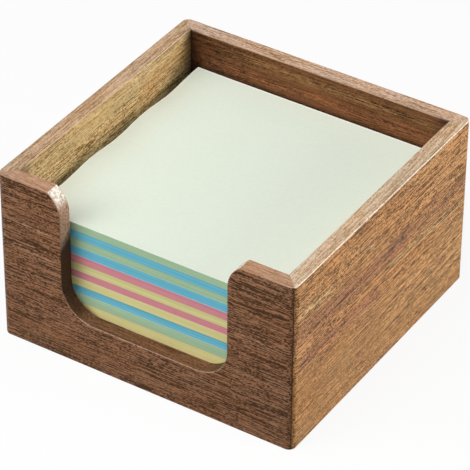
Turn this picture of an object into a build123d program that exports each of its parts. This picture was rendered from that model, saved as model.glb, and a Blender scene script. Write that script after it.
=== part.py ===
from build123d import *
import os

# An open wooden desk box for loose note sheets. Four boards meet in glued mitres round a floor
# panel that sits in a groove, and the front board has a U-shaped finger cut-out with rounded horns.
# A cube of coloured sheets stands on the floor panel, with one node for each colour group.
# Millimetres, +Z up, +X to the right, the front faces -Y. The origin is the centre of the footprint
# at table height.

# Notes: colour and number of sheets of each group, from the top of the cube down
note_width = 90.0
note_depth = 90.0
sheet_thickness = 0.1
note_groups = [
    ("green", 26),
    ("blue", 27),
    ("green", 28),
    ("blue", 31),
    ("pink", 28),
    ("yellow", 30),
    ("pink", 25),
    ("yellow", 29),
    ("blue", 29),
    ("green", 33),
    ("yellow", 30),
    ("pink", 28),
    ("blue", 28),
    ("green", 28),
]

# Room between the notes and the walls; the notes lie against the right and the back wall
left_gap = 3.1
right_gap = 0.5
front_gap = 1.1
back_gap = 0.5

# Walls
box_height = 60.0
wall = 5.2
corner_radius = 2.4
edge_round = 0.4

# Finger cut-out in the front wall. Each side curves outwards over the last horn_height and meets
# the rim at a soft crease, horn_spread further out.
cutout_width = 58.5
cutout_floor = 16.2
cutout_fillet = 11.0
horn_height = 8.4
horn_spread = 4.5
crease_round = 1.2

# Floor panel and the groove that holds it
panel_thickness = 4.0
panel_underside = 3.0
groove_depth = 2.6
groove_clearance = 0.15
panel_side_clearance = 0.4

# Worked out from the sizes above
inner_width = left_gap + note_width + right_gap
inner_depth = front_gap + note_depth + back_gap
box_width = inner_width + 2 * wall
box_depth = inner_depth + 2 * wall
front_face = -box_depth / 2
front_inner_face = -inner_depth / 2
floor_top = panel_underside + panel_thickness
notes_x = inner_width / 2 - right_gap - note_width / 2
notes_y = inner_depth / 2 - back_gap - note_depth / 2
tolerance = 0.001

# The walls in order round the box, each a quarter turn on from the last
wall_sides = ("front", "right", "back", "left")


def rounded_ring():
    """The four walls as one ring: rounded outer corners, square inner ones, full height."""
    with BuildPart() as ring:
        with BuildSketch():
            RectangleRounded(box_width, box_depth, corner_radius)
            Rectangle(inner_width, inner_depth, mode=Mode.SUBTRACT)
        extrude(amount=box_height)
    return ring.part


def cutout_cutter():
    """The U that is cut through the front wall: filleted at the foot, flared at the horns."""
    side = cutout_width / 2
    horn_foot = box_height - horn_height
    mouth = side + horn_spread
    above_rim = box_height + cutout_fillet
    with BuildPart() as cutter:
        with BuildSketch(Plane.XZ.offset(-front_inner_face - tolerance)):
            with BuildLine():
                FilletPolyline(
                    (-side, horn_foot),
                    (-side, cutout_floor),
                    (side, cutout_floor),
                    (side, horn_foot),
                    radius=cutout_fillet,
                )
                TangentArc((side, horn_foot), (mouth, box_height), tangent=(0, 1))
                Polyline(
                    (mouth, box_height), (mouth, above_rim), (-mouth, above_rim), (-mouth, box_height)
                )
                TangentArc((-side, horn_foot), (-mouth, box_height), tangent=(0, 1))
            make_face()
        extrude(amount=wall + 2 * tolerance)
    return cutter.part


def near(value, target):
    return abs(value - target) < tolerance


def on_cutout(edge):
    """True for an edge of the front wall's outline along its top, horns and U, on either face."""
    centre = edge.center()
    on_face = near(centre.Y, front_face) or near(centre.Y, front_inner_face)
    return on_face and centre.Z > cutout_floor - tolerance and abs(centre.X) < inner_width / 2


def on_rim(edge):
    """True for an edge of the other three walls' top, outside or inside, and of its corners."""
    centre = edge.center()
    return near(centre.Z, box_height) and not on_cutout(edge) and edge.length > wall + tolerance


def on_corner_arc(edge, height):
    """True for a quarter arc at an outer corner of the plan, at that height."""
    return edge.geom_type == GeomType.CIRCLE and near(edge.center().Z, height)


def on_foot(edge):
    """True for an outer edge of the underside."""
    centre = edge.center()
    on_side = near(abs(centre.X), box_width / 2) or near(abs(centre.Y), box_depth / 2)
    return near(centre.Z, 0) and (on_side or on_corner_arc(edge, 0))


def on_crease(edge):
    """True for the edge, across the wall, where a horn's curve meets the rim."""
    centre = edge.center()
    across = near(centre.Y, (front_face + front_inner_face) / 2)
    mouth = cutout_width / 2 + horn_spread
    return across and near(centre.Z, box_height) and near(abs(centre.X), mouth)


def glued_walls():
    """The ring with its cut-out, horns and every arris rounded, as it is sanded after gluing."""
    ring = rounded_ring() - cutout_cutter()
    creases = [e for e in ring.edges() if on_crease(e)]
    ring = fillet(creases, crease_round)
    arrises = [
        e
        for e in ring.edges()
        if on_cutout(e) or on_rim(e) or on_corner_arc(e, box_height) or on_foot(e)
    ]
    return fillet(arrises, edge_round)


def panel_groove():
    """The groove round the inside of the walls, a little taller than the panel."""
    height = panel_thickness + groove_clearance
    return Pos(0, 0, panel_underside + height / 2) * Box(
        inner_width + 2 * groove_depth, inner_depth + 2 * groove_depth, height
    )


def mitre_wedge(quarter_turns):
    """The space between one wall's two mitre planes. The front wall has 0 quarter turns."""
    length, across = (box_depth, box_width) if quarter_turns % 2 else (box_width, box_depth)
    outer = length / 2 + wall
    inner = length / 2 - 2 * wall
    outside = -across / 2 - wall
    inside = -across / 2 + 2 * wall
    corners = [(-outer, outside), (outer, outside), (inner, inside), (-inner, inside)]
    with BuildPart() as wedge:
        with BuildSketch():
            Polygon(*corners, align=None)
        extrude(amount=box_height)
    return Rot(0, 0, 90 * quarter_turns) * wedge.part


def floor_panel():
    """The floor, its edges inside the groove and its underside on the groove's lower cheek."""
    reach = 2 * (groove_depth - panel_side_clearance)
    return Pos(0, 0, floor_top - panel_thickness / 2) * Box(
        inner_width + reach, inner_depth + reach, panel_thickness
    )


def note_blocks():
    """One block for each colour group, stacked on the floor panel. Number 1 is the top one."""
    blocks = {}
    underside = floor_top
    for number in range(len(note_groups), 0, -1):
        colour, sheets = note_groups[number - 1]
        height = sheets * sheet_thickness
        middle = underside + height / 2
        blocks[f"notes_{number:02d}_{colour}"] = Pos(notes_x, notes_y, middle) * Box(
            note_width, note_depth, height
        )
        underside += height
    return blocks


def build_nodes():
    """Every sub-part by name."""
    walls = glued_walls() - panel_groove()
    nodes = {}
    for quarter_turns, side in enumerate(wall_sides):
        nodes[f"{side}_wall"] = walls & mitre_wedge(quarter_turns)
    nodes["floor_panel"] = floor_panel()
    nodes.update(note_blocks())
    return nodes


os.makedirs("parts", exist_ok=True)
for name, solid in build_nodes().items():
    solid.label = name
    export_step(solid, f"parts/{name}.step")
    print(name, "volume", round(solid.volume, 1))
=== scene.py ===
import math
import random

import bpy
from mathutils import Matrix, Vector

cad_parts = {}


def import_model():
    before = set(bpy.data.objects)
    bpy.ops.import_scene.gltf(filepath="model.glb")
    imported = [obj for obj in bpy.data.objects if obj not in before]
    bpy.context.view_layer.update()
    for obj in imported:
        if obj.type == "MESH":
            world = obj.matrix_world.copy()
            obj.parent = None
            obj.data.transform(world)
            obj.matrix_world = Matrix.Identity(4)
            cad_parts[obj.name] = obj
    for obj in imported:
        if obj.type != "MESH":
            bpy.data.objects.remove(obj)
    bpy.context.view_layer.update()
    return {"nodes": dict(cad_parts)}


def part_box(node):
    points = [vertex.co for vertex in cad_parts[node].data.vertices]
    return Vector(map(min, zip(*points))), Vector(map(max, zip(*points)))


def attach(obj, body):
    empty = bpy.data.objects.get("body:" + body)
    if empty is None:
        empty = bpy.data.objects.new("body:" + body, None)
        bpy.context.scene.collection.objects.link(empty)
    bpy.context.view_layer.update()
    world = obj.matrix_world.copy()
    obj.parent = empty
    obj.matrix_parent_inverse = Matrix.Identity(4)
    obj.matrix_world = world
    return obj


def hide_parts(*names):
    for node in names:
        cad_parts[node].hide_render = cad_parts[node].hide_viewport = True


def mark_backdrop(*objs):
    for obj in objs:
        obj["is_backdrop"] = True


# The looks of an open wooden note box: oiled wood on the boards that the frame holds, and cubes of
# loose sheets in place of the frame's plain note blocks. Metres, in the frame's own axes: the front
# faces -Y, +X is to the right and +Z is up.

MM = 0.001
WHITE = (1.0, 1.0, 1.0)

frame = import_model()

WALLS = ("front_wall", "back_wall", "left_wall", "right_wall")
NOTE_NODES = sorted(name for name in frame["nodes"] if name.startswith("notes_"))


def span(node, axis):
    """The lowest and the highest coordinate of a CAD node along an axis."""
    low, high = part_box(node)
    return low[axis], high[axis]


# Sizes read from the frame
HALF_SIZES = (span("right_wall", 0)[1], span("back_wall", 1)[1])
RIM = span("back_wall", 2)[1]
WALL = HALF_SIZES[0] - span("right_wall", 0)[0]
STACK_FOOT = span(NOTE_NODES[-1], 2)[0]
STACK_TOP = span(NOTE_NODES[0], 2)[1]
NOTES_LEFT = span(NOTE_NODES[0], 0)[0]
NOTES_BACK = span(NOTE_NODES[0], 1)[1]


# ---------------------------------------------------------------------------------------------
# Shader helpers
# ---------------------------------------------------------------------------------------------

# The colour sockets of a mix node, by index, because its float and vector ones share their names
MIX_FACTOR, MIX_FIRST, MIX_SECOND, MIX_RESULT = 0, 6, 7, 2

# Where a ramp's dark, middle and light tones lie
TONE_STOPS = (0.02, 0.5, 0.98)


def put(tree, socket, value):
    """Links an output to a socket, or sets the socket to a number or a colour."""
    if isinstance(value, bpy.types.NodeSocket):
        tree.links.new(value, socket)
    elif isinstance(value, tuple) and len(value) == 3 and len(socket.default_value) == 4:
        socket.default_value = (*value, 1.0)
    else:
        socket.default_value = value


def add(tree, kind, inputs=(), output=0, **settings):
    """A new shader node with its settings and its inputs, by index or name. Gives one output."""
    made = tree.nodes.new(kind)
    for name, value in settings.items():
        setattr(made, name, value)
    pairs = inputs.items() if isinstance(inputs, dict) else enumerate(inputs)
    for key, value in pairs:
        put(tree, made.inputs[key], value)
    return made.outputs[output]


def calc(tree, operation, *values):
    return add(tree, "ShaderNodeMath", values, operation=operation)


def vector_calc(tree, operation, *values):
    return add(tree, "ShaderNodeVectorMath", values, operation=operation)


def times(tree, product, *factors):
    """The product of all the values."""
    for factor in factors:
        product = calc(tree, "MULTIPLY", product, factor)
    return product


def magnitude(tree, value):
    """The number without its sign."""
    return calc(tree, "ABSOLUTE", value)


def split(tree, vector):
    """The three parts of a vector."""
    return add(tree, "ShaderNodeSeparateXYZ", [vector]).node.outputs


def grey(tree, value):
    """A grey of that value."""
    return add(tree, "ShaderNodeCombineXYZ", [value, value, value])


def noise(tree, vector, detail=2.0, roughness=0.5):
    """Noise from 0 to 1 whose features are about one unit of the vector wide."""
    inputs = {"Vector": vector, "Scale": 1.0, "Detail": detail, "Roughness": roughness}
    return add(tree, "ShaderNodeTexNoise", inputs)


def step(tree, value, low, high):
    """0 below low, 1 above high and a smooth rise between. With low above high it falls."""
    inputs = {"Value": value, "From Min": min(low, high), "From Max": max(low, high)}
    inputs["To Min"] = 0.0 if low < high else 1.0
    inputs["To Max"] = 1.0 if low < high else 0.0
    return add(tree, "ShaderNodeMapRange", inputs, interpolation_type="SMOOTHSTEP")


def between(tree, share, low, high):
    """Low at a share of 0, high at a share of 1."""
    return calc(tree, "MULTIPLY_ADD", share, high - low, low)


def mix(tree, factor, first, second, blend="MIX"):
    """The first colour at a factor of 0, and at 1 the second or its blend with the first."""
    made = tree.nodes.new("ShaderNodeMix")
    made.data_type = "RGBA"
    made.blend_type = blend
    put(tree, made.inputs[MIX_FACTOR], factor)
    put(tree, made.inputs[MIX_FIRST], first)
    put(tree, made.inputs[MIX_SECOND], second)
    return made.outputs[MIX_RESULT]


def tinted(tree, colour, tint):
    """The product of two colours."""
    return mix(tree, 1.0, colour, tint, "MULTIPLY")


def scaled(colour, share):
    """A plain colour times a number."""
    return tuple(part * share for part in colour)


def ramp(tree, value, tones):
    """A colour ramp from a dark tone through a middle to a light one."""
    made = tree.nodes.new("ShaderNodeValToRGB")
    put(tree, made.inputs[0], value)
    made.color_ramp.elements.new(TONE_STOPS[1])
    for element, place, colour in zip(made.color_ramp.elements, TONE_STOPS, tones):
        element.position = place
        element.color = (*colour, 1.0)
    return made.outputs[0]


def shader(name):
    """A new material with its tree and its surface shader."""
    material = bpy.data.materials.new(name)
    material.use_nodes = True
    tree = material.node_tree
    return material, tree, tree.nodes["Principled BSDF"]


def finish_surface(tree, surface, colour, roughness, specular, height, depth):
    """Puts colour, roughness, specular level and a bump of that depth on the surface shader."""
    put(tree, surface.inputs["Base Color"], colour)
    put(tree, surface.inputs["Roughness"], roughness)
    put(tree, surface.inputs["Specular IOR Level"], specular)
    bump = add(tree, "ShaderNodeBump", {"Height": height, "Distance": depth, "Strength": 1.0})
    put(tree, surface.inputs["Normal"], bump)


# ---------------------------------------------------------------------------------------------
# Wood
# ---------------------------------------------------------------------------------------------

# Which coordinate runs along the grain
AXES = {"X": 0, "Y": 1}

# The patterns of the grain: width across it and length along it in mm, detail, roughness, and
# the step of the seed that keeps each apart from the others
GRAIN = {
    "figure": (11, 90, 1.0, 0.5, 1),
    "bands": (2.6, 60, 2.0, 0.6, 2),
    "threads": (1.1, 24, 0.0, 0.5, 9),
    "lines": (0.30, 18, 0.0, 0.5, 3),
    "dashes": (0.30, 3.6, 0.0, 0.5, 4),
    "grit": (0.32, 0.9, 0.0, 0.5, 5),
    "zones": (7, 30, 1.0, 0.5, 6),
    "slits": (0.40, 3.4, 0.0, 0.5, 7),
    "drift": (9, 26, 1.5, 0.5, 8),
}

# How much each of them adds to the broad figure and to the fine one
BROAD = {"figure": 0.5, "bands": 0.6, "threads": 0.55}
FINE = {"lines": 3.0, "dashes": 2.4, "grit": 2.8}

# End grain shows as dots instead
DOTS_PER_METRE = 1500.0

# How far a seed moves the noise, so that no two boards are alike
SEED_SHIFT = (7.31, 3.17, 5.53)

# Most values of a noise lie between these
NOISE_RANGE = (0.3, 0.7)

# How the fibres wander: width, length and detail of a bend, and its reach across the grain
BEND_WIDTH = 14 * MM
BEND_LENGTH = 55 * MM
BEND_DETAIL = 1.5
BEND_REACH = 1.6 * MM

# How strong the fine figure is in calm zones and in busy ones
ZONE_STRENGTH = (0.75, 1.25)

# Tints of the places that are more olive and of those that are redder
OLIVE_DRIFT = (0.97, 1.01, 1.06)
RED_DRIFT = (1.03, 0.99, 0.94)

# A streak fades in and out over this length. How far its fibres tear to either side of their mean
# when it is fully ragged, and how much of the fine figure shows in it.
STREAK_FADE = 5 * MM
TORN_BELOW = 0.35
TORN_ABOVE = 0.2
STREAK_FIGURE = 0.9

# Slits above this level are pores. Where pores crowd together it is lower, by the crowding at most.
PORE_LEVEL = 0.86
PORE_CROWDING = 0.20
PORE_EDGE = 0.06
PORE_STRENGTH = 0.75

# Painted light on the end grain of the horns below the rim, and a painted highlight at it
END_GRAIN_PAINTED_LIGHT = (0.39, 0.23, 0.148)
END_GRAIN_PAINTED_HIGHLIGHT = (0.68, 0.59, 0.50)

# The slanted edge of that painted light, where painted shadow begins, climbs towards the back: its
# slope, and its height at the middle of the box, where the painted light starts and where it is
# whole
PAINTED_EDGE_SLOPE = 0.55
PAINTED_EDGE_START = 66.5 * MM
PAINTED_EDGE_WHOLE = 70.5 * MM

# Shares of a board's own tones: pores of the dark one, the painted shade of the sill and end grain
# of the middle
PORE_SHADE = 0.45
SILL_SHADE = 0.36
END_GRAIN_SHADE = 0.32

# How strongly painted shade darkens the sill, how much of the broad figure the rim shows and how
# strongly dots speckle the end grain
SILL_STRENGTH = 0.68
RIM_BROAD = 0.6
SPECKLE = 2.2

# Painted shade in the upright inside corners, and how far from the wall it starts
CORNER_SHADE_COLOUR = (0.02, 0.010, 0.006)
CORNER_SHADE_STRENGTH = 0.6
CORNER_SHADE_REACH = 6 * MM

# The glue of a mitre: half widths and strengths of its core and of the shade round it, and how
# much of that is left on the rim
GLUE_COLOUR = (0.03, 0.014, 0.008)
GLUE_CORE = 0.34 * MM
GLUE_CORE_STRENGTH = 0.55
GLUE_HALO = 1.5 * MM
GLUE_HALO_STRENGTH = 0.30
GLUE_ON_RIM = 0.4

# How squarely a flat face meets an axis, and how squarely a rounded arris does
SQUARE_FACE = 0.985
ROUNDED_EDGE = 0.90

# Roughness of the wood, what its lines add to that and what polish takes away, how much it shines,
# its relief and the share of the lines in it
WOOD_ROUGHNESS = 0.36
LINE_ROUGHNESS = 0.2
POLISH = 0.2
WOOD_SPECULAR = 0.13
WOOD_RELIEF = 0.07 * MM
LINE_RELIEF = 0.6


def stretched(tree, place, axis, across, along, seed):
    """The place as a vector whose unit is a feature: across and along are its size in metres."""
    sizes = [1.0 / across] * 3
    sizes[axis] = 1.0 / along
    features = vector_calc(tree, "MULTIPLY", place, tuple(sizes))
    return vector_calc(tree, "ADD", features, scaled(SEED_SHIFT, seed))


def wandering(tree, place, axis, seed):
    """The place pushed about across the grain, so that what is drawn there wanders a little."""
    slow = stretched(tree, place, axis, BEND_WIDTH, BEND_LENGTH, seed)
    inputs = {"Vector": slow, "Scale": 1.0, "Detail": BEND_DETAIL}
    push = add(tree, "ShaderNodeTexNoise", inputs, output=1)
    push = vector_calc(tree, "SUBTRACT", push, (0.5, 0.5, 0.5))
    reach = [BEND_REACH] * 3
    reach[axis] = 0.0
    push = vector_calc(tree, "MULTIPLY", push, tuple(reach))
    return vector_calc(tree, "ADD", place, push)


def grain_patterns(tree, place, axis, seed):
    """The noises of the grain by name, and the place where they are read, in its three parts. The
    dots are those of end grain."""
    bent = wandering(tree, place, axis, seed)
    patterns = {}
    for name, (across, along, detail, roughness, apart) in GRAIN.items():
        features = stretched(tree, bent, axis, across * MM, along * MM, seed + apart)
        patterns[name] = noise(tree, features, detail, roughness)
    spots = vector_calc(tree, "MULTIPLY", place, (DOTS_PER_METRE,) * 3)
    patterns["dots"] = noise(tree, spots, 1.0, 0.7)
    return patterns, split(tree, bent)


def weigh(tree, base, weights, patterns):
    """base plus each weight times how far its pattern lies from its mean of a half."""
    for name, weight in weights.items():
        off = calc(tree, "SUBTRACT", patterns[name], 0.5)
        base = calc(tree, "ADD", base, calc(tree, "MULTIPLY", weight, off))
    return base


def face_tone(tree, height, busy, broad_tone, fine_tone, zones):
    """The tone of the faces: both figures, as strong as busy says for that height."""
    low, high, fine_below, fine_above, broad_below, broad_above = busy
    raised = step(tree, height, low * MM, high * MM)
    in_zones = between(tree, step(tree, zones, *NOISE_RANGE), *ZONE_STRENGTH)
    fine = times(tree, between(tree, raised, fine_below, fine_above), in_zones)
    broad = between(tree, raised, broad_below, broad_above)
    tone = calc(tree, "MULTIPLY_ADD", broad_tone, broad, 0.5)
    return calc(tree, "MULTIPLY_ADD", fine_tone, fine, tone)


def streak(tree, along, height, mark):
    """The mask of a streak: (start, end, height at start, height at end, half height), in mm."""
    start, end, first, last, half = (value * MM for value in mark)
    slope = (last - first) / (end - start)
    middle = calc(tree, "MULTIPLY_ADD", along, slope, first - slope * start)
    off = magnitude(tree, calc(tree, "SUBTRACT", height, middle))
    soft = min(STREAK_FADE, (end - start) / 2)
    begun = step(tree, along, start, start + soft)
    return times(tree, step(tree, off, half, 0.0), begun, step(tree, along, end, end - soft))


def streaked(tree, colour, marks, along, height, fine_tone, patterns):
    """The colour with its marks: (streak, colour, strength, raggedness)."""
    fibres = weigh(tree, 0.5, {"dashes": 1.0, "lines": 1.0}, patterns)
    shade = grey(tree, calc(tree, "MULTIPLY_ADD", fine_tone, STREAK_FIGURE, 1.0))
    for mark, tint, strength, ragged in marks:
        torn = step(tree, fibres, 0.5 - TORN_BELOW * ragged, 0.5 + TORN_ABOVE * ragged)
        torn = between(tree, torn, 1.0 - ragged, 1.0)
        mask = times(tree, streak(tree, along, height, mark), torn, strength)
        colour = mix(tree, mask, colour, tinted(tree, tint, shade))
    return colour


def pores(tree, patterns):
    """The mask of the open pores: short slits that crowd together in places."""
    least = calc(tree, "MULTIPLY_ADD", patterns["zones"], -PORE_CROWDING, PORE_LEVEL)
    return step(tree, calc(tree, "SUBTRACT", patterns["slits"], least), 0.0, PORE_EDGE)


def end_grain(tree, axis, fixed, facing):
    """The mask of the faces that cross the grain, at the cut-out and not at the box's corners."""
    crossing = step(tree, magnitude(tree, facing[axis]), 0.36, 0.6)
    from_middle = magnitude(tree, fixed[axis])
    corner = HALF_SIZES[axis]
    return times(tree, crossing, step(tree, from_middle, corner - 4 * MM, corner - 7 * MM))


def worn_and_highlit_arrises(tree, axis, fixed, facing, dots):
    """Mask of the pale arrises along the board, spotty above its foot: wear and painted highlight.
    """
    widest = calc(tree, "MAXIMUM", magnitude(tree, facing[0]), magnitude(tree, facing[1]))
    widest = calc(tree, "MAXIMUM", widest, magnitude(tree, facing[2]))
    return times(
        tree,
        step(tree, widest, SQUARE_FACE, ROUNDED_EDGE),
        step(tree, magnitude(tree, facing[2]), 0.05, 0.3),
        step(tree, fixed[2], 8 * MM, 14 * MM),
        step(tree, magnitude(tree, facing[1 - axis]), 0.12, 0.35),
        step(tree, dots, 0.2, 0.65),
    )


def painted_corner_shade(tree, fixed):
    """The mask of the painted shade in the upright inside corners."""
    inside = [calc(tree, "SUBTRACT", half - WALL, magnitude(tree, fixed[axis]))
              for axis, half in enumerate(HALF_SIZES)]
    near = step(tree, calc(tree, "MAXIMUM", *inside), CORNER_SHADE_REACH, 0.5 * MM)
    return times(tree, near, step(tree, calc(tree, "MINIMUM", *inside), -0.5 * MM, -0.2 * MM))


def glue_lines(tree, fixed, facing):
    """The mask of the mitres' glue: a dark core, and a soft shade round it on upright faces."""
    from_corner = [calc(tree, "SUBTRACT", magnitude(tree, fixed[axis]), half)
                   for axis, half in enumerate(HALF_SIZES)]
    off = magnitude(tree, calc(tree, "SUBTRACT", *from_corner))
    core = times(tree, step(tree, off, GLUE_CORE, 0.12 * MM), GLUE_CORE_STRENGTH)
    halo = times(tree, step(tree, off, GLUE_HALO, 0.2 * MM), GLUE_HALO_STRENGTH)
    upright = step(tree, magnitude(tree, facing[2]), 0.7, 0.3)
    line = calc(tree, "ADD", core, times(tree, halo, upright))
    return times(tree, line, between(tree, upright, GLUE_ON_RIM, 1.0))


def wood(name, grain, seed, tones, rim, worn_highlit, busy, rim_busy=0.8, marks=(), outer=WHITE):
    """Oiled open-pored hardwood. tones and rim are (dark, middle, light) of the faces and of the
    rim, whose paler, greyer tones are a painted sheen, and worn_highlit is the colour of the pale
    arrises, partly wear and partly a painted highlight. busy is (low z, high z, fine below, fine
    above, broad below, broad above): how strong the fine and the broad figure are below and above
    these heights, in mm, and rim_busy is how strong the fine one is on the rim. marks are (streak,
    colour, strength, raggedness). outer multiplies the colour of the outer face."""
    material, tree, surface = shader(name)
    axis = AXES[grain]
    coords = tree.nodes.new("ShaderNodeTexCoord")
    fixed = split(tree, coords.outputs["Object"])
    facing = split(tree, coords.outputs["Normal"])
    patterns, bent = grain_patterns(tree, coords.outputs["Object"], axis, seed)
    along, height = bent[axis], bent[2]
    broad_tone = weigh(tree, 0.0, BROAD, patterns)
    fine_tone = weigh(tree, 0.0, FINE, patterns)
    drift = mix(tree, step(tree, patterns["drift"], *NOISE_RANGE), OLIVE_DRIFT, RED_DRIFT)

    # Faces, with the board's own tint on its outer one
    tone = face_tone(tree, height, busy, broad_tone, fine_tone, patterns["zones"])
    colour = tinted(tree, ramp(tree, tone, tones), drift)
    outer_face = HALF_SIZES[1 - axis]
    from_middle = magnitude(tree, fixed[1 - axis])
    outside = step(tree, from_middle, outer_face - 1.5 * MM, outer_face - 0.8 * MM)
    colour = mix(tree, outside, colour, tinted(tree, colour, outer))
    colour = streaked(tree, colour, marks, along, height, fine_tone, patterns)
    pore = pores(tree, patterns)
    colour = mix(tree, times(tree, pore, PORE_STRENGTH), colour, scaled(tones[0], PORE_SHADE))

    # The rim is painted paler and greyer as sheen; the cut-out's foot is painted darker as shade
    upward = step(tree, facing[2], 0.3, 0.9)
    top = times(tree, upward, step(tree, fixed[2], RIM - 2 * MM, RIM - 0.3 * MM))
    sill = times(tree, upward, step(tree, fixed[2], RIM - 2 * MM, RIM - 4 * MM))
    colour = mix(tree, times(tree, sill, SILL_STRENGTH), colour, scaled(tones[1], SILL_SHADE))
    rim_tone = calc(tree, "MULTIPLY_ADD", broad_tone, RIM_BROAD, 0.5)
    rim_tone = calc(tree, "MULTIPLY_ADD", fine_tone, rim_busy, rim_tone)
    colour = mix(tree, top, colour, tinted(tree, ramp(tree, rim_tone, rim), drift))

    # End grain drinks more oil and shows dots in place of lines.
    end = end_grain(tree, axis, fixed, facing)
    # At the horns its upper part is painted light above a slanted painted shadow edge, with a
    # painted highlight near the rim
    painted_edge_level = calc(tree, "MULTIPLY_ADD", fixed[1], -PAINTED_EDGE_SLOPE, fixed[2])
    painted_edge_level = weigh(tree, painted_edge_level, {"zones": 1.5 * MM}, patterns)
    painted_lit_part = step(tree, painted_edge_level, PAINTED_EDGE_START, PAINTED_EDGE_WHOLE)
    near_rim = step(tree, fixed[2], RIM - 6 * MM, RIM - 3 * MM)
    painted_light = mix(tree, near_rim, END_GRAIN_PAINTED_LIGHT, END_GRAIN_PAINTED_HIGHLIGHT)
    cut = mix(tree, painted_lit_part, scaled(tones[1], END_GRAIN_SHADE), painted_light)
    speckle = grey(tree, weigh(tree, 1.0, {"dots": SPECKLE}, patterns))
    colour = mix(tree, end, colour, tinted(tree, cut, speckle))

    # The arrises are pale partly from wear and partly as a painted highlight
    worn_and_highlit = worn_and_highlit_arrises(tree, axis, fixed, facing, patterns["dots"])
    colour = mix(tree, worn_and_highlit, colour, worn_highlit)
    # Painted shade in the upright inside corners
    colour = mix(tree, times(tree, painted_corner_shade(tree, fixed), CORNER_SHADE_STRENGTH), colour, CORNER_SHADE_COLOUR)
    colour = mix(tree, glue_lines(tree, fixed, facing), colour, GLUE_COLOUR)

    # The pale arrises and the painted light on the horns' end grain are smoother
    polish = calc(tree, "MAXIMUM", worn_and_highlit, times(tree, end, painted_lit_part))
    roughness = calc(tree, "MULTIPLY_ADD", patterns["lines"], LINE_ROUGHNESS, WOOD_ROUGHNESS)
    roughness = calc(tree, "MULTIPLY_ADD", polish, -POLISH, roughness)
    relief = calc(tree, "SUBTRACT", times(tree, patterns["lines"], LINE_RELIEF), pore)
    finish_surface(tree, surface, colour, roughness, WOOD_SPECULAR, relief, WOOD_RELIEF)
    return material


def shades(colour, low=0.34, high=1.75):
    """A dark, a middle and a light tone of a wood colour. The dark one is redder, and the light
    one is nearer to grey."""
    red, green, blue = colour
    dark = (red * low, green * low * 0.83, blue * low * 0.58)
    light = (red * high * 0.96, green * high * 1.02, blue * high * 1.22)
    return dark, colour, light


# Middle tones of the boards, and the colours of the marks on them
FRONT = (0.264, 0.121, 0.0525)
RIGHT = (0.515, 0.250, 0.083)
LEFT = (0.545, 0.365, 0.160)
BACK = (0.190, 0.074, 0.0245)
RED_BROWN = (0.36, 0.150, 0.075)
PALE_OLIVE = (0.56, 0.40, 0.19)
DARK_LINE = (0.10, 0.035, 0.015)
DARK_BROWN = (0.16, 0.065, 0.030)
DUSTY = (0.40, 0.21, 0.115)

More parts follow.
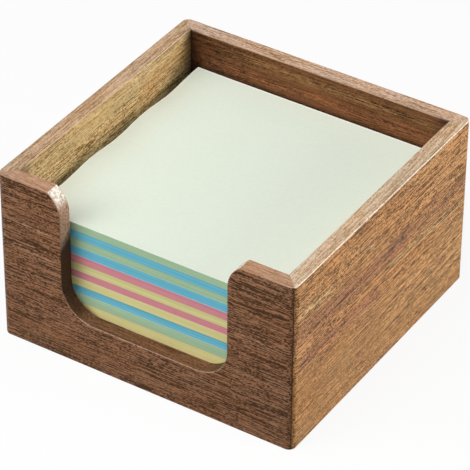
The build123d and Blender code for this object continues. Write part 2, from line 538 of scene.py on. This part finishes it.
BOARDS = {
    "front_wall": wood(
        "wood_front", "X", 1, shades(FRONT, 0.30, 1.95), shades((0.37, 0.215, 0.130), 0.6, 1.4),
        (0.43, 0.265, 0.18), busy=(13, 19, 0.8, 1.1, 0.75, 1.35), rim_busy=0.35,
        marks=(
            ((-47, -31, 44.6, 44.4, 0.7), (0.52, 0.34, 0.21), 0.6, 0.8),
            ((-50, -30, 36.0, 35.0, 2.6), DUSTY, 0.55, 0.6),
            ((30, 50, 37.0, 34.0, 3.0), DUSTY, 0.5, 0.7),
            ((30, 43, 40.1, 38.7, 0.5), DARK_LINE, 0.85, 0.3),
            ((-50, -33, 38.8, 39.4, 1.3), DARK_BROWN, 0.6, 0.4),
            ((-50, -32, 47.6, 47.0, 1.0), DARK_BROWN, 0.5, 0.5),
            ((-50, -40, 54.5, 53.5, 1.0), DARK_BROWN, 0.5, 0.4),
            ((-49, -34, 50.9, 50.3, 0.8), DUSTY, 0.5, 0.6),
            ((33, 51, 46.6, 45.4, 1.2), DARK_BROWN, 0.6, 0.4),
            ((34, 50, 42.6, 41.8, 0.7), DUSTY, 0.5, 0.6),
            ((-49, -31, 30.6, 29.8, 1.1), DARK_BROWN, 0.4, 0.6),
            ((-15, -8, 4.6, 4.9, 0.45), DARK_LINE, 0.9, 0.2),
            ((22, 46, 7.2, 7.9, 0.6), DARK_LINE, 0.7, 0.6),
            ((33, 50, 15.8, 17.6, 0.7), DARK_BROWN, 0.7, 0.6),
            ((34, 51, 28.0, 27.0, 0.6), DARK_LINE, 0.5, 0.7),
        ),
    ),
    "back_wall": wood(
        "wood_back", "X", 2, shades(BACK, 0.4, 1.6), shades((0.40, 0.26, 0.165), 0.5, 1.5),
        (0.45, 0.31, 0.22), busy=(0, 1, 0.30, 0.30, 0.7, 0.7), rim_busy=0.5,
        marks=(
            ((-40, 46, 56.5, 56.0, 2.6), (0.22, 0.118, 0.045), 0.6, 0.3),
            ((-47, 40, 50.5, 51.5, 2.4), (0.215, 0.075, 0.030), 0.6, 0.4),
            # These two darken the left end of the back wall as painted shadow
            ((-60, -31, 54, 54, 14), (0.085, 0.032, 0.013), 0.5, 0.1),
            ((-60, -22, 54, 54, 14), (0.10, 0.040, 0.016), 0.5, 0.1),
            # Painted shade along the foot of the back wall, where it meets the paper
            ((-60, 60, 46.5, 46.5, 3.4), (0.05, 0.02, 0.009), 0.75, 0.1),
        ),
    ),
    "left_wall": wood(
        "wood_left", "Y", 3, shades(LEFT, 0.36, 1.55), shades((0.39, 0.255, 0.147), 0.5, 1.5),
        (0.50, 0.36, 0.24), busy=(50, 53.5, 0.85, 0.36, 0.45, 0.4), rim_busy=0.4,
        marks=(
            # Painted shade along the foot of the left wall, where it meets the paper
            ((-20, 30, 50.0, 48.5, 2.2), (0.40, 0.23, 0.085), 0.55, 0.5),
            # Redder wood, and darker towards the back corner as painted shade
            ((14, 60, 52.0, 54.0, 7.0), (0.43, 0.21, 0.07), 0.5, 0.3),
        ),
        outer=(0.86, 0.68, 0.58),
    ),
    "right_wall": wood(
        "wood_right", "Y", 4, shades(RIGHT, 0.36, 1.75), shades((0.45, 0.315, 0.195), 0.55, 1.42),
        (0.85, 0.76, 0.64), busy=(23, 31, 0.42, 1.3, 0.2, 0.9), rim_busy=0.42,
        marks=(
            ((-53, 16, 41, 38, 7.0), RED_BROWN, 0.75, 0.4),
            ((0, 54, 40, 38, 6.0), RED_BROWN, 0.45, 0.6),
            ((-50, 0, 31, 28, 5.0), RED_BROWN, 0.8, 0.4),
            ((-51, -28, 49, 46.5, 2.6), PALE_OLIVE, 0.6, 0.6),
            ((-12, -6, 49.2, 48.7, 0.8), (0.78, 0.66, 0.45), 0.8, 0.2),
            ((0, 52, 33.5, 30.8, 2.0), PALE_OLIVE, 0.6, 0.7),
            ((30, 51, 34.4, 32.6, 0.5), DARK_LINE, 0.75, 0.4),
            ((33, 51, 31.2, 30.8, 0.4), (0.72, 0.58, 0.36), 0.7, 0.3),
            ((-2, 62, 15, 15, 17), (0.60, 0.335, 0.135), 0.45, 0.05),
        ),
    ),
    "floor_panel": wood(
        "wood_floor", "X", 5, shades((0.42, 0.22, 0.10)), shades((0.5, 0.32, 0.18)),
        (0.5, 0.32, 0.18), busy=(0, 1, 0.9, 0.9, 1.0, 1.0),
    ),
}
for node_name, material in BOARDS.items():
    mesh = frame["nodes"][node_name].data
    mesh.materials.clear()
    mesh.materials.append(material)


# ---------------------------------------------------------------------------------------------
# Notes
# ---------------------------------------------------------------------------------------------

# A sheet's thickness, how far a group and a sheet in it lie off the stack's middle, and how deep
# the groove between two sheets is
SHEET = 0.1 * MM
GROUP_SHIFT = 0.06 * MM
EDGE_JITTER = 0.03 * MM
GROOVE = 0.015 * MM

# Steps along each side of a sheet
CELLS = 24

# The stack's tilt at half its height, which is this much at this distance from the middle
TILT = 0.75 * MM
TILT_REACH = 45 * MM

# The wave of the stack's left edge: its height, its length from front to back, where a crest lies,
# how far to the right it reaches and how far the whole edge hangs down
WAVE = 0.45 * MM
WAVE_LENGTH = 29 * MM
WAVE_CREST = 14 * MM
WAVE_REACH = 9 * MM
WAVE_DROP = 0.2 * MM

# The sheets near the foot of the cut-out sag by this much, round this height
SAG = 0.45 * MM
SAG_HEIGHT = 15.4 * MM
SAG_WIDTH = 1.5 * MM

# Colours of the faces and of the stacked edges
PAPERS = {
    "green": ((0.80, 0.87, 0.75), (0.53, 0.76, 0.50)),
    "blue": ((0.62, 0.80, 0.88), (0.22, 0.69, 0.88)),
    "pink": ((0.89, 0.68, 0.72), (0.92, 0.38, 0.43)),
    "yellow": ((0.91, 0.88, 0.62), (0.96, 0.90, 0.42)),
}
# A painted highlight along the left and back edges of the faces
PAPER_EDGE_HIGHLIGHT = (0.97, 0.97, 0.94)
PAPER_ROUGHNESS = 0.9
PAPER_SPECULAR = 0.1
PAPER_RELIEF = 0.01 * MM

# Fibres and layers of the paper per metre. A layer lies flat, so it is thin upwards.
FIBRES_PER_METRE = (900.0, 900.0, 900.0)
LAYERS_PER_METRE = (60.0, 60.0, 5200.0)


def paper(colour_name):
    """Matt coloured paper. Its faces are pale, with a painted highlight along their left and back
    edges, and its stacked edges show the full colour."""
    face, edge = PAPERS[colour_name]
    material, tree, surface = shader(f"paper_{colour_name}")
    coords = tree.nodes.new("ShaderNodeTexCoord")
    place = coords.outputs["Object"]
    layers = noise(tree, vector_calc(tree, "MULTIPLY", place, LAYERS_PER_METRE))
    edges = tinted(tree, edge, grey(tree, calc(tree, "MULTIPLY_ADD", layers, 0.22, 0.89)))
    fibres = noise(tree, vector_calc(tree, "MULTIPLY", place, FIBRES_PER_METRE), 3.0)
    faces = mix(tree, step(tree, fibres, 0.2, 0.8), scaled(face, 0.97), face)
    flat = step(tree, magnitude(tree, split(tree, coords.outputs["Normal"])[2]), 0.75, 0.95)
    colour = mix(tree, flat, edges, faces)
    where = split(tree, place)
    # Painted highlight along the left and back edges of the flat faces
    from_left = calc(tree, "SUBTRACT", where[0], NOTES_LEFT)
    from_back = calc(tree, "SUBTRACT", NOTES_BACK, where[1])
    edge_highlight = step(tree, calc(tree, "MINIMUM", from_left, from_back), 0.55 * MM, 0.15 * MM)
    colour = mix(tree, times(tree, edge_highlight, flat, 0.8), colour, PAPER_EDGE_HIGHLIGHT)
    finish_surface(tree, surface, colour, PAPER_ROUGHNESS, PAPER_SPECULAR, fibres, PAPER_RELIEF)
    return material


def warped(x, y, z):
    """The stack isn't quite flat: its middle layers tilt to the left and its left edge is wavy."""
    share = (z - STACK_FOOT) / (STACK_TOP - STACK_FOOT)
    tilt = TILT * (x / TILT_REACH) * math.sin(math.pi * min(1.0, max(0.0, share)))
    wave = WAVE * math.cos(2 * math.pi * (y - WAVE_CREST) / WAVE_LENGTH) - WAVE_DROP
    wave *= math.exp(-(x - NOTES_LEFT) / WAVE_REACH) * max(0.0, share) ** 3
    sag = SAG * math.exp(-(((z - SAG_HEIGHT) / SAG_WIDTH) ** 2))
    return Vector((x, y, z + tilt + wave - sag))


def square_ring(x0, x1, y0, y1):
    """Points round a rectangle, counter-clockwise from its front left corner, CELLS to a side."""
    corners = [(x0, y0), (x1, y0), (x1, y1), (x0, y1)]
    ring = []
    for (ax, ay), (bx, by) in zip(corners, corners[1:] + corners[:1]):
        ring += [(ax + (bx - ax) * i / CELLS, ay + (by - ay) * i / CELLS) for i in range(CELLS)]
    return ring


def cap(verts, faces, layer, ring_start, upward):
    """Closes a ring with a grid of quads that shares the ring's points."""
    z, (x0, x1, y0, y1) = layer
    index = {}
    for i in range(CELLS):
        index[i, 0] = ring_start + i
        index[CELLS, i] = ring_start + CELLS + i
        index[CELLS - i, CELLS] = ring_start + 2 * CELLS + i
        index[0, CELLS - i] = ring_start + 3 * CELLS + i
    for i in range(1, CELLS):
        for j in range(1, CELLS):
            index[i, j] = len(verts)
            verts.append(warped(x0 + (x1 - x0) * i / CELLS, y0 + (y1 - y0) * j / CELLS, z))
    for i in range(CELLS):
        for j in range(CELLS):
            quad = (index[i, j], index[i + 1, j], index[i + 1, j + 1], index[i, j + 1])
            faces.append(quad if upward else quad[::-1])


def sheet_layers(low, high, seed):
    """The outlines of a group of sheets from its foot up: (z, (x0, x1, y0, y1)), two to a sheet."""
    rolls = random.Random(seed)
    sheets = round((high.z - low.z) / SHEET)
    thickness = (high.z - low.z) / sheets
    shift_x, shift_y = [rolls.uniform(-GROUP_SHIFT, GROUP_SHIFT) for _ in range(2)]
    layers = []
    for number in range(sheets):
        dx = shift_x + rolls.uniform(-1, 1) * EDGE_JITTER
        dy = shift_y + rolls.uniform(-1, 1) * EDGE_JITTER
        x0, x1, y0, y1 = ridge = (low.x + dx, high.x + dx, low.y + dy, high.y + dy)
        bottom = low.z + number * thickness
        layers.append((bottom, (x0 + GROOVE, x1 - GROOVE, y0 + GROOVE, y1 - GROOVE)))
        layers.append((bottom + thickness / 2, ridge))
    layers.append((high.z, ridge))
    return layers


def note_group(node, seed):
    """A group of sheets with one ridge for each sheet's edge, closed by a face at top and foot."""
    layers = sheet_layers(*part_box(node), seed)
    verts, faces = [], []
    around = 4 * CELLS
    for z, edges in layers:
        verts += [warped(x, y, z) for x, y in square_ring(*edges)]
    for level in range(len(layers) - 1):
        for i in range(around):
            a = level * around + i
            b = level * around + (i + 1) % around
            faces.append((a, b, b + around, a + around))
    cap(verts, faces, layers[0], 0, False)
    cap(verts, faces, layers[-1], (len(layers) - 1) * around, True)
    name = node.replace("notes_", "sheets_")
    mesh = bpy.data.meshes.new(name)
    mesh.from_pydata(verts, [], faces)
    mesh.validate()
    return bpy.data.objects.new(name, mesh)


paper_materials = {name: paper(name) for name in PAPERS}
for seed, node in enumerate(NOTE_NODES):
    colour_name = node.split("_")[2]
    group = note_group(node, seed)
    bpy.context.scene.collection.objects.link(group)
    group.data.materials.append(paper_materials[colour_name])
    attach(group, node)
    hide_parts(node)


# ---------------------------------------------------------------------------------------------
# Stage, light and camera
# ---------------------------------------------------------------------------------------------

# The floor: its reach each way, its colour to the light and to the camera, and how much of what
# the camera sees of it is its own glow. The rest is lit by the lamps, and holds the shadow.
FLOOR_REACH = 3.0
FLOOR_TO_LIGHT = (0.14, 0.14, 0.14)
FLOOR_TO_CAMERA = (0.9, 0.9, 0.9)
FLOOR_GLOW = 0.90
FLOOR_ROUGHNESS = 0.8
FLOOR_SPECULAR = 0.1

# How strong the white surroundings are as a light
AMBIENT = 0.06

# What the lamps face, and the lamps: name, direction, distance, side and level. The last one
# lights the walls alone.
LAMP_TARGET = Vector((0.0, 0.0, 30 * MM))
LAMPS = (
    ("overhead", (0.05, -0.25, 1.0), 0.9, 0.6, 0.66),
    ("right", (0.93, 0.26, 0.25), 1.0, 0.28, 0.32),
    ("fill", (-0.42, -0.66, 0.62), 1.0, 0.6, 0.48),
)
WALL_LAMP = ("kicker", (0.46, 0.678, 0.55), 1.0, 0.35, 0.55)

# The photograph's view, in degrees and metres, and its lens and sensor in millimetres
AZIMUTH, ELEVATION, ROLL = 32.486, 36.543, 0.388
VIEW_TARGET = Vector((0.972, -2.435, 28.35)) * MM
VIEW_DISTANCE = 932.18 * MM
FOCAL_LENGTH = 234.05
SENSOR_WIDTH = 36.0


def seen_rays(tree):
    """1 for what the camera sees, itself or in a reflection or through glass, and 0 for light."""
    rays = tree.nodes.new("ShaderNodeLightPath")
    seen = calc(tree, "MAXIMUM", rays.outputs["Is Camera Ray"], rays.outputs["Is Glossy Ray"])
    return calc(tree, "MAXIMUM", seen, rays.outputs["Is Transmission Ray"])


def floor():
    """A pale floor that is white to the camera but for a faint shadow, and bounces little light."""
    material, tree, surface = shader("floor_white")
    put(tree, surface.inputs["Roughness"], FLOOR_ROUGHNESS)
    put(tree, surface.inputs["Specular IOR Level"], FLOOR_SPECULAR)
    seen = seen_rays(tree)
    glow = add(tree, "ShaderNodeEmission", {"Color": WHITE, "Strength": 1.0})
    put(tree, surface.inputs["Base Color"], mix(tree, seen, FLOOR_TO_LIGHT, FLOOR_TO_CAMERA))
    share = times(tree, seen, FLOOR_GLOW)
    both = add(tree, "ShaderNodeMixShader", [share, surface.outputs[0], glow])
    put(tree, tree.nodes["Material Output"].inputs[0], both)
    mesh = bpy.data.meshes.new("floor")
    signs = ((-1, -1), (1, -1), (1, 1), (-1, 1))
    corners = [(x * FLOOR_REACH, y * FLOOR_REACH, 0.0) for x, y in signs]
    mesh.from_pydata(corners, [], [(0, 1, 2, 3)])
    mesh.materials.append(material)
    made = bpy.data.objects.new("floor", mesh)
    bpy.context.scene.collection.objects.link(made)
    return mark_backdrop(made)


def world():
    """Even white surroundings: full white to the camera, weaker as a light."""
    made = bpy.data.worlds.new("surroundings")
    made.use_nodes = True
    tree = made.node_tree
    background = tree.nodes["Background"]
    put(tree, background.inputs["Color"], WHITE)
    put(tree, background.inputs["Strength"], between(tree, seen_rays(tree), AMBIENT, 1.0))
    bpy.context.scene.world = made


def softbox(name, direction, distance, side, level, receivers=()):
    """A square area lamp that faces the box and gives a surface square to it that level of light.
    Where receivers are given, it lights these alone."""
    data = bpy.data.lights.new(name, "AREA")
    data.shape = "SQUARE"
    data.size = side
    data.energy = level * math.pi * math.pi * distance ** 2
    made = bpy.data.objects.new(name, data)
    way = Vector(direction).normalized()
    made.location = LAMP_TARGET + way * distance
    made.rotation_euler = way.to_track_quat("Z", "Y").to_euler()
    bpy.context.scene.collection.objects.link(made)
    if receivers:
        group = bpy.data.collections.new(f"{name}_receivers")
        for receiver in receivers:
            group.objects.link(receiver)
        made.light_linking.receiver_collection = group


def camera():
    """The photograph's view: a long lens from the front right, above the rim."""
    azimuth, elevation, roll = (math.radians(angle) for angle in (AZIMUTH, ELEVATION, ROLL))
    outward = Vector((math.sin(azimuth), -math.cos(azimuth), 0.0))
    back = outward * math.cos(elevation) + Vector((0.0, 0.0, math.sin(elevation)))
    right = Vector((math.cos(azimuth), math.sin(azimuth), 0.0))
    up = back.cross(right)
    turned_right = math.cos(roll) * right + math.sin(roll) * up
    turned_up = math.cos(roll) * up - math.sin(roll) * right
    data = bpy.data.cameras.new("camera")
    data.sensor_fit = "HORIZONTAL"
    data.sensor_width = SENSOR_WIDTH
    data.lens = FOCAL_LENGTH
    made = bpy.data.objects.new("camera", data)
    turn = Matrix((turned_right, turned_up, back)).transposed()
    made.matrix_world = Matrix.Translation(VIEW_TARGET + back * VIEW_DISTANCE) @ turn.to_4x4()
    bpy.context.scene.collection.objects.link(made)
    bpy.context.scene.camera = made


floor()
world()
for lamp in LAMPS:
    softbox(*lamp)
softbox(*WALL_LAMP, [frame["nodes"][name] for name in WALLS])
camera()
bpy.context.scene.view_settings.view_transform = "Standard"
